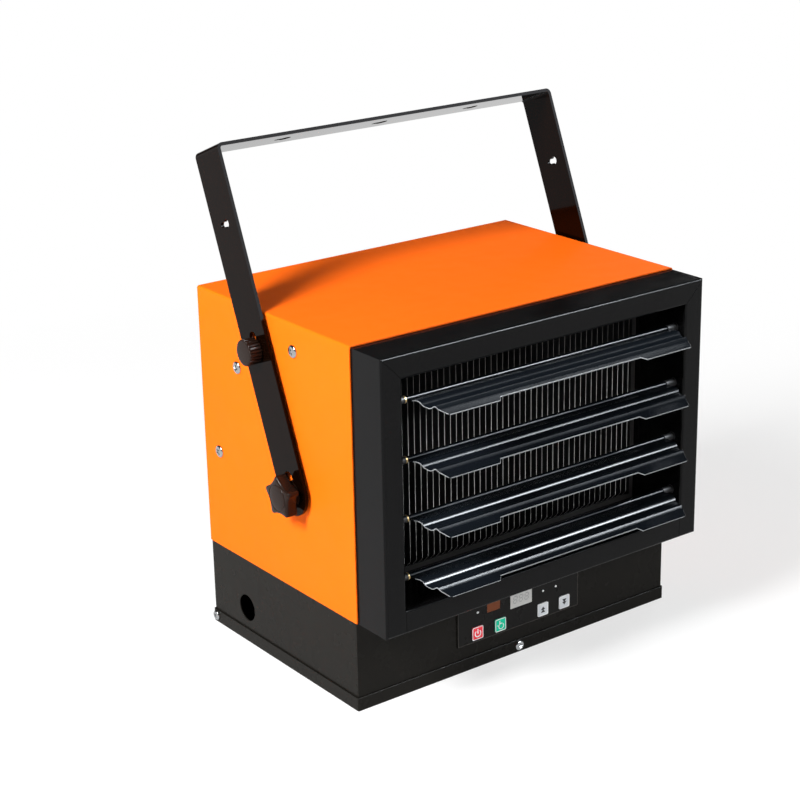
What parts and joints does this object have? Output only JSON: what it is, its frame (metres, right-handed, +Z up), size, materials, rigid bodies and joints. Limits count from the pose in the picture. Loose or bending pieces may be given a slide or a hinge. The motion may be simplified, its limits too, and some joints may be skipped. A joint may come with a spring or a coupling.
{
  "type": "garage heater",
  "caption": "Fan-forced electric garage heater with an orange steel case, black louvred outlet, wiring base and tilting strap bracket.",
  "frame": {"origin": "centre of the bottom tray's underside, on the floor", "axes": "+Z up, the louvres face -Y, +X to the right seen from the front"},
  "size_m": [0.4002, 0.3047, 0.4617],
  "materials": {
    "orange_paint": "satin powder coat",
    "black_paint": "fine satin powder coat",
    "bezel_paint": "satin black powder coat",
    "louvre_paint": "semi-gloss black",
    "bracket_paint": "satin black powder coat",
    "galvanised_steel": "galvanised sheet",
    "zinc_steel": "zinc plated",
    "motor_paint": "black enamel",
    "fan_aluminium": "mill finish",
    "brass": "plain",
    "fin_steel": "heat darkened",
    "tube_steel": "heat darkened",
    "knob_plastic": "moulded black",
    "black_plastic": "moulded black",
    "panel_plastic": "satin film",
    "display_grey": "grey display",
    "receiver_brown": "dark brown filter",
    "lens_clear": "clear",
    "button_red": "satin",
    "button_green": "satin",
    "button_grey": "satin",
    "board_green": "solder mask",
    "terminal_cream": "moulded"
  },
  "bodies": {
    "cabinet": {"bottom_tray": "black_paint", "base_front": "black_paint", "base_left": "black_paint", "base_right": "black_paint", "base_back": "black_paint", "base_top": "galvanised_steel", "case_shell": "orange_paint", "rear_panel": "black_paint", "front_bezel": "bezel_paint", "air_duct": "galvanised_steel", "fan_shroud": "galvanised_steel", "motor_bracket": "zinc_steel", "fan_motor": "motor_paint", "heater_fins": "fin_steel", "heating_tubes": "tube_steel", "tube_terminals": "brass", "thermal_cutout": "black_plastic", "louvre_bushes": "black_plastic", "pivot_washers": "black_plastic", "pivot_nuts": "zinc_steel", "lock_nuts": "zinc_steel", "side_screws": "zinc_steel", "tray_screws": "zinc_steel", "rear_screws": "zinc_steel", "motor_screws": "zinc_steel", "control_panel": "panel_plastic", "display_window": "display_grey", "receiver_window": "receiver_brown", "indicator_lenses": "lens_clear", "control_board": "board_green", "board_standoffs": "brass", "tact_switches": "black_plastic", "display_module": "display_grey", "terminal_block": "terminal_cream", "contactors": "black_plastic", "ground_screw": "brass"},
    "bracket": {"mounting_bracket": "bracket_paint"},
    "star_left": {"star_knob_left": "knob_plastic"},
    "star_right": {"star_knob_right": "knob_plastic"},
    "lock_left": {"lock_knob_left": "knob_plastic"},
    "lock_right": {"lock_knob_right": "knob_plastic"},
    "fan": {"fan_blade": "fan_aluminium", "fan_shaft": "zinc_steel", "fan_nut": "brass"},
    "louvre_body_1": {"louvre_1": "louvre_paint", "louvre_rod_1": "brass"},
    "louvre_body_2": {"louvre_2": "louvre_paint", "louvre_rod_2": "brass"},
    "louvre_body_3": {"louvre_3": "louvre_paint", "louvre_rod_3": "brass"},
    "louvre_body_4": {"louvre_4": "louvre_paint", "louvre_rod_4": "brass"},
    "power_cap": {"button_power": "button_red"},
    "mode_cap": {"button_mode": "button_green"},
    "up_cap": {"button_up": "button_grey"},
    "down_cap": {"button_down": "button_grey"}
  },
  "joints": [
    {"name": "bracket_tilt", "type": "hinge", "parent": "cabinet", "child": "bracket", "pos_m": [0, -0.0357, 0.176], "axis": [-1, 0, 0], "range_deg": [-22, 68]},
    {"name": "louvre_turn_1", "type": "hinge", "parent": "cabinet", "child": "louvre_body_1", "pos_m": [0, -0.1439, 0.1264], "axis": [1, 0, 0], "range_deg": [-40, 25]},
    {"name": "louvre_turn_2", "type": "hinge", "parent": "cabinet", "child": "louvre_body_2", "pos_m": [0, -0.1439, 0.1778], "axis": [1, 0, 0], "range_deg": [-40, 25]},
    {"name": "louvre_turn_3", "type": "hinge", "parent": "cabinet", "child": "louvre_body_3", "pos_m": [0, -0.1439, 0.2292], "axis": [1, 0, 0], "range_deg": [-40, 25]},
    {"name": "louvre_turn_4", "type": "hinge", "parent": "cabinet", "child": "louvre_body_4", "pos_m": [0, -0.1439, 0.2806], "axis": [1, 0, 0], "range_deg": [-40, 25]},
    {"name": "fan_spin", "type": "hinge", "parent": "cabinet", "child": "fan", "pos_m": [0, 0.055, 0.20275], "axis": [0, -1, 0], "continuous": true},
    {"name": "star_turn_left", "type": "hinge", "parent": "cabinet", "child": "star_left", "pos_m": [-0.19, -0.0357, 0.176], "axis": [-1, 0, 0], "continuous": true},
    {"name": "star_turn_right", "type": "hinge", "parent": "cabinet", "child": "star_right", "pos_m": [0.19, -0.0357, 0.176], "axis": [1, 0, 0], "continuous": true},
    {"name": "lock_turn_left", "type": "hinge", "parent": "bracket", "child": "lock_left", "pos_m": [-0.19, 0.01113, 0.2919], "axis": [-1, 0, 0], "continuous": true},
    {"name": "lock_turn_right", "type": "hinge", "parent": "bracket", "child": "lock_right", "pos_m": [0.19, 0.01113, 0.2919], "axis": [1, 0, 0], "continuous": true},
    {"name": "press_power", "type": "slide", "parent": "cabinet", "child": "power_cap", "axis": [0, 1, 0], "range_m": [0, 0.0006], "stiffness_N_per_m": 500},
    {"name": "press_mode", "type": "slide", "parent": "cabinet", "child": "mode_cap", "axis": [0, 1, 0], "range_m": [0, 0.0006], "stiffness_N_per_m": 500},
    {"name": "press_up", "type": "slide", "parent": "cabinet", "child": "up_cap", "axis": [0, 1, 0], "range_m": [0, 0.0006], "stiffness_N_per_m": 500},
    {"name": "press_down", "type": "slide", "parent": "cabinet", "child": "down_cap", "axis": [0, 1, 0], "range_m": [0, 0.0006], "stiffness_N_per_m": 500}
  ]
}
